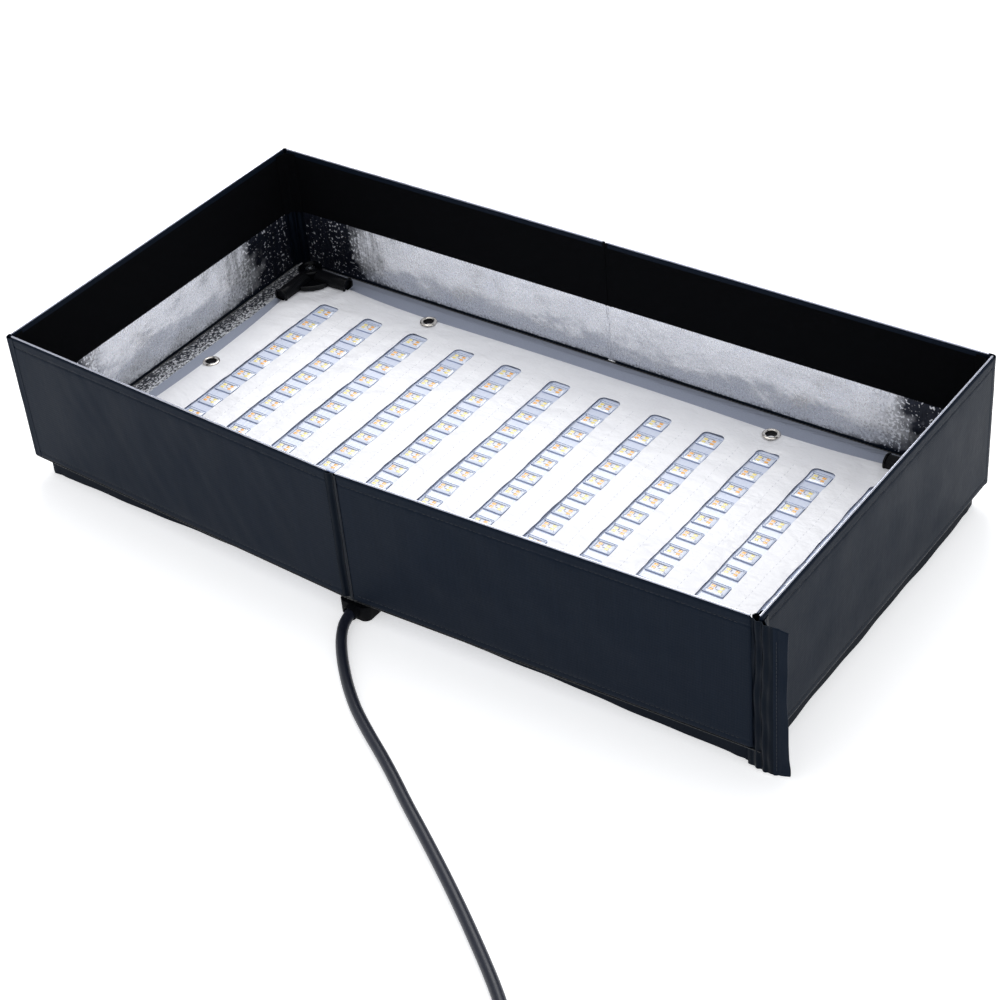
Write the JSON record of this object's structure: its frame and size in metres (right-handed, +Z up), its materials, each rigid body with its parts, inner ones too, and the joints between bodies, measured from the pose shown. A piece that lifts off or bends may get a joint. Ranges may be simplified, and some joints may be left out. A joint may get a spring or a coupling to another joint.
{
  "type": "strip softbox",
  "caption": "Rectangular strip softbox: a padded, foldable ring of walls around a flexible LED light mat on a fabric base, with corner holders, cross rods, threaded hub and power lead.",
  "frame": {"origin": "mouth of the threaded socket under the hub, in the plane of the floor that the part lies on, at the middle of the wall ring", "axes": "+X along the long walls, +Y to the straight back wall, +Z up out of the open face"},
  "size_m": [0.7475, 0.8434, 0.1391],
  "materials": {
    "black_fabric": "matte woven",
    "silver_fabric": "silver coated cloth",
    "circuit_film": "satin film",
    "led_phosphor": "phosphor domes",
    "clear_lens": "clear moulded resin",
    "white_sheet": "satin",
    "nickel": "bright plated",
    "black_plastic": "moulded",
    "holder_plastic": "moulded, glossy rims",
    "rod_fibre": "drawn fibre",
    "brass": "turned",
    "rubber": "soft moulded",
    "cable_jacket": "satin jacket",
    "loop_band": "brushed loop",
    "anodised": "satin anodised",
    "board": "stiff board",
    "black_nylon": "coated nylon",
    "silver_lining": "metallised crinkle cloth"
  },
  "bodies": {
    "base": {"rear_skirt": "black_fabric", "floor_cloth": "silver_fabric", "mat_backing": "black_fabric", "led_circuit": "circuit_film", "led_packages": "led_phosphor", "led_lenses": "clear_lens", "mat_cover": "white_sheet", "eyelets": "nickel", "eyelet_washers": "nickel", "power_ribbon": "black_plastic", "corner_holder_fl": "holder_plastic", "corner_holder_fr": "holder_plastic", "corner_holder_bl": "holder_plastic", "corner_holder_br": "holder_plastic", "corner_screws": "nickel", "cross_rod_fl": "rod_fibre", "cross_rod_fr": "rod_fibre", "cross_rod_bl": "rod_fibre", "cross_rod_br": "rod_fibre", "rod_tips": "black_plastic", "cross_hub": "black_plastic", "hub_cover": "black_plastic", "hub_insert": "brass", "hub_screws": "nickel", "junction_box": "black_plastic", "junction_lid": "black_plastic", "junction_screws": "nickel", "cable_gland": "rubber", "cord_run": "cable_jacket", "cord_coil": "cable_jacket", "cord_tail": "cable_jacket", "cable_tie": "loop_band", "connector_shell": "anodised", "connector_insert": "black_plastic"},
    "collar": {"connector_collar": "anodised"},
    "left_end": {"left_end_board": "board", "left_end_cover": "black_nylon", "left_end_lining": "silver_lining", "left_end_band": "loop_band"},
    "right_end": {"right_end_board": "board", "right_end_cover": "black_nylon", "right_end_lining": "silver_lining", "right_end_band": "loop_band"},
    "back_left": {"back_left_board": "board", "back_left_cover": "black_nylon", "back_left_lining": "silver_lining", "back_left_band": "loop_band"},
    "back_right": {"back_right_board": "board", "back_right_cover": "black_nylon", "back_right_lining": "silver_lining", "back_right_band": "loop_band"},
    "front_left": {"front_left_board": "board", "front_left_cover": "black_nylon", "front_left_lining": "silver_lining", "front_left_band": "loop_band"},
    "front_right": {"front_right_board": "board", "front_right_cover": "black_nylon", "front_right_lining": "silver_lining", "front_right_band": "loop_band"}
  },
  "joints": [
    {"name": "ring_lift", "type": "slide", "parent": "base", "child": "left_end", "axis": [0, 0, 1], "range_m": [0, 0.15]},
    {"name": "back_left_fold", "type": "hinge", "parent": "left_end", "child": "back_left", "pos_m": [-0.3495, 0.1745, 0.08], "axis": [0, 0, 1], "range_deg": [-86, 0]},
    {"name": "back_crease", "type": "hinge", "parent": "back_left", "child": "back_right", "pos_m": [0, 0.1785, 0.08], "axis": [0, 0, 1], "range_deg": [0, 172]},
    {"name": "back_right_fold", "type": "hinge", "parent": "back_right", "child": "right_end", "pos_m": [0.3495, 0.1745, 0.08], "axis": [0, 0, 1], "range_deg": [-86, 0]},
    {"name": "front_left_fold", "type": "hinge", "parent": "left_end", "child": "front_left", "pos_m": [-0.3495, -0.1785, 0.08], "axis": [0, 0, 1], "range_deg": [-83.7, 0]},
    {"name": "front_crease", "type": "hinge", "parent": "front_left", "child": "front_right", "pos_m": [0, -0.18915, 0.08], "axis": [0, 0, 1], "range_deg": [0, 167.3]},
    {"name": "collar_turn", "type": "hinge", "parent": "base", "child": "collar", "pos_m": [0.31807, -0.65113, 0.0105], "axis": [-0.5446, -0.8387, 0], "range_deg": [0, 90]}
  ],
  "couplings": [
    {"joint": "back_left_fold", "follows": "ring_lift", "rad_per_m": -10},
    {"joint": "back_crease", "follows": "ring_lift", "rad_per_m": 20},
    {"joint": "back_right_fold", "follows": "ring_lift", "rad_per_m": -10},
    {"joint": "front_left_fold", "follows": "ring_lift", "rad_per_m": -9.721},
    {"joint": "front_crease", "follows": "ring_lift", "rad_per_m": 19.442}
  ]
}
